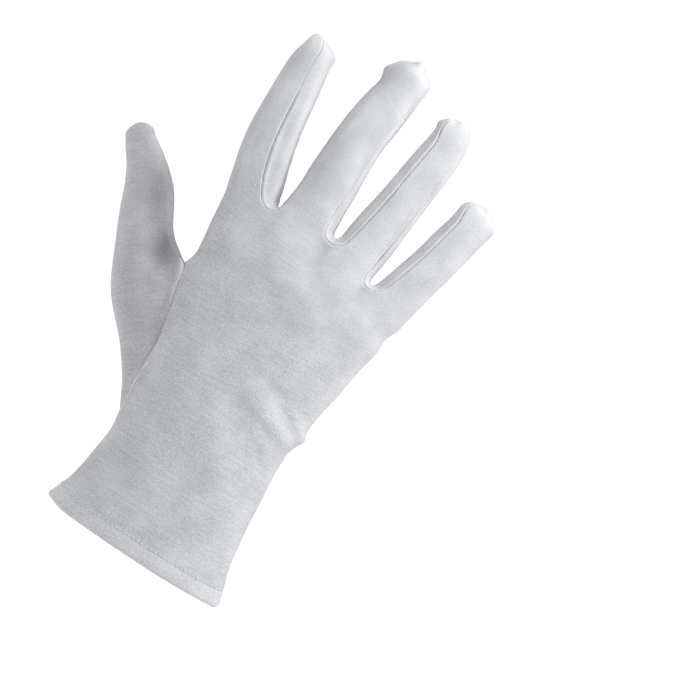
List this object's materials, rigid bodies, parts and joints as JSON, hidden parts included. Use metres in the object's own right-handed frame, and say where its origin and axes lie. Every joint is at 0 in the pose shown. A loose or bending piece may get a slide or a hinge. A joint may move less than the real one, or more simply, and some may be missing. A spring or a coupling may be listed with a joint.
{
  "type": "knit dress glove",
  "caption": "Right-hand dress glove of fine white cotton knit, in the form a spread hand gives it, with set-in thumb, strips between the fingers and a turned-up stitched hem at the open cuff.",
  "frame": {"origin": "centre of the cuff's mouth, where the wrist comes out", "axes": "+Z from the cuff's mouth up to the middle finger's tip, +X towards the little finger, -Y out of the back of the hand and +Y out of the palm"},
  "size_m": [0.162, 0.0458, 0.2453],
  "materials": {
    "cotton_knit": "fine matt white cotton knit"
  },
  "bodies": {
    "root": {"back": "cotton_knit", "palm": "cotton_knit", "thumb_back": "cotton_knit", "thumb_palm": "cotton_knit", "fourchette_index_middle": "cotton_knit", "fourchette_middle_ring": "cotton_knit", "fourchette_ring_little": "cotton_knit", "cuff_hem": "cotton_knit"}
  },
  "joints": []
}
